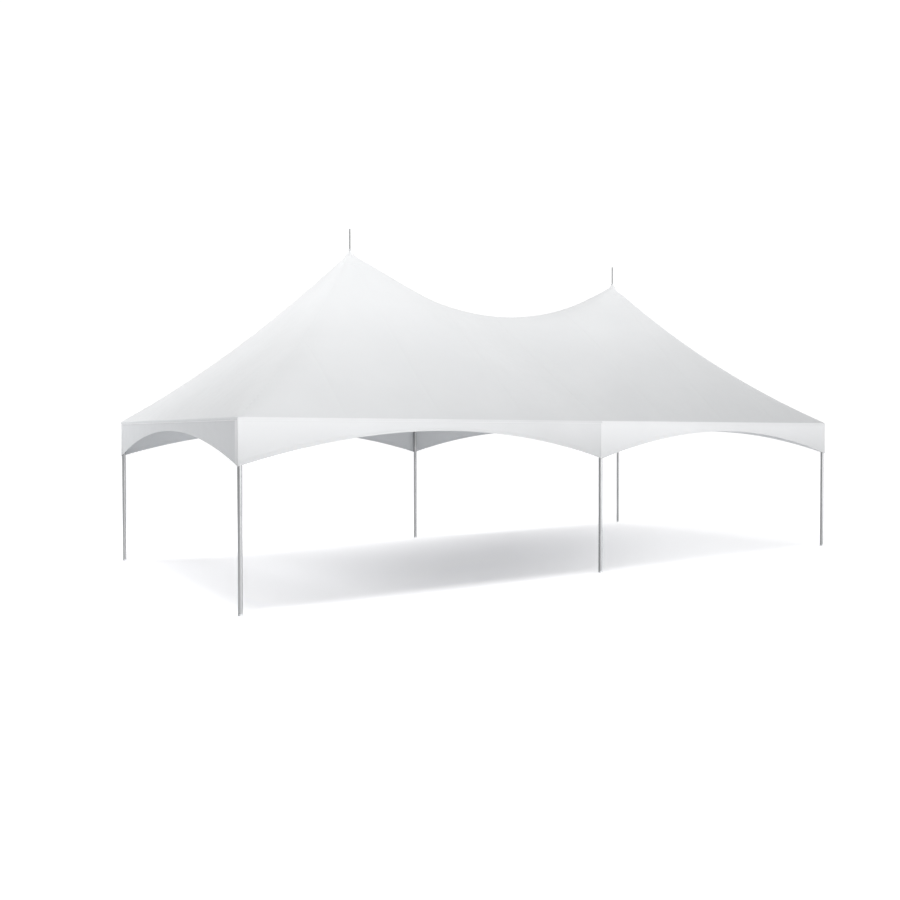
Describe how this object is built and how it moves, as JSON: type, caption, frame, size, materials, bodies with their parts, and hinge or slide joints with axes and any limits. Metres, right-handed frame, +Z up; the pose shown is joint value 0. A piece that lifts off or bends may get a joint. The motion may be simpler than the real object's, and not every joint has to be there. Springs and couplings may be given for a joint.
{
  "type": "twin-peak frame marquee tent",
  "caption": "Open-sided marquee with a white stretched roof rising to peaks with thin spires, arched valances, and round aluminium legs and eave beams.",
  "frame": {"origin": "on the ground at the centre of the plan", "axes": "+X along the long side towards the right-hand bay, -Y the front, +Z up"},
  "size_m": [12.192, 6.096, 5.8],
  "materials": {
    "tube_aluminium": "mill finish tube, satin",
    "cast_aluminium": "cast, matt",
    "steel_cable": "galvanised wire rope with pressed sleeves",
    "galvanised_steel": "galvanised, satin",
    "spire_metal": "satin",
    "roof_vinyl": "white coated fabric, soft sheen",
    "valance_vinyl": "white coated fabric, soft sheen"
  },
  "bodies": {
    "root": {"leg_front_left": "tube_aluminium", "leg_front_middle": "tube_aluminium", "leg_front_right": "tube_aluminium", "leg_back_left": "tube_aluminium", "leg_back_middle": "tube_aluminium", "leg_back_right": "tube_aluminium", "leg_head_front_left": "cast_aluminium", "leg_head_front_middle": "cast_aluminium", "leg_head_front_right": "cast_aluminium", "leg_head_back_left": "cast_aluminium", "leg_head_back_middle": "cast_aluminium", "leg_head_back_right": "cast_aluminium", "beam_front_left": "tube_aluminium", "beam_front_right": "tube_aluminium", "beam_back_left": "tube_aluminium", "beam_back_right": "tube_aluminium", "beam_end_left": "tube_aluminium", "beam_end_right": "tube_aluminium", "cross_beam_middle": "tube_aluminium", "cable_front_left": "steel_cable", "cable_front_middle_to_left": "steel_cable", "cable_back_left": "steel_cable", "cable_back_middle_to_left": "steel_cable", "cable_front_right": "steel_cable", "cable_front_middle_to_right": "steel_cable", "cable_back_right": "steel_cable", "cable_back_middle_to_right": "steel_cable", "mast_foot_left": "galvanised_steel", "mast_left": "tube_aluminium", "finial_left": "spire_metal", "mast_foot_right": "galvanised_steel", "mast_right": "tube_aluminium", "finial_right": "spire_metal", "roof_front_left": "roof_vinyl", "roof_back_left": "roof_vinyl", "roof_end_left": "roof_vinyl", "roof_front_right": "roof_vinyl", "roof_back_right": "roof_vinyl", "roof_end_right": "roof_vinyl", "valance_front_left": "valance_vinyl", "valance_back_left": "valance_vinyl", "valance_end_left": "valance_vinyl", "valance_front_right": "valance_vinyl", "valance_back_right": "valance_vinyl", "valance_end_right": "valance_vinyl"}
  },
  "joints": []
}
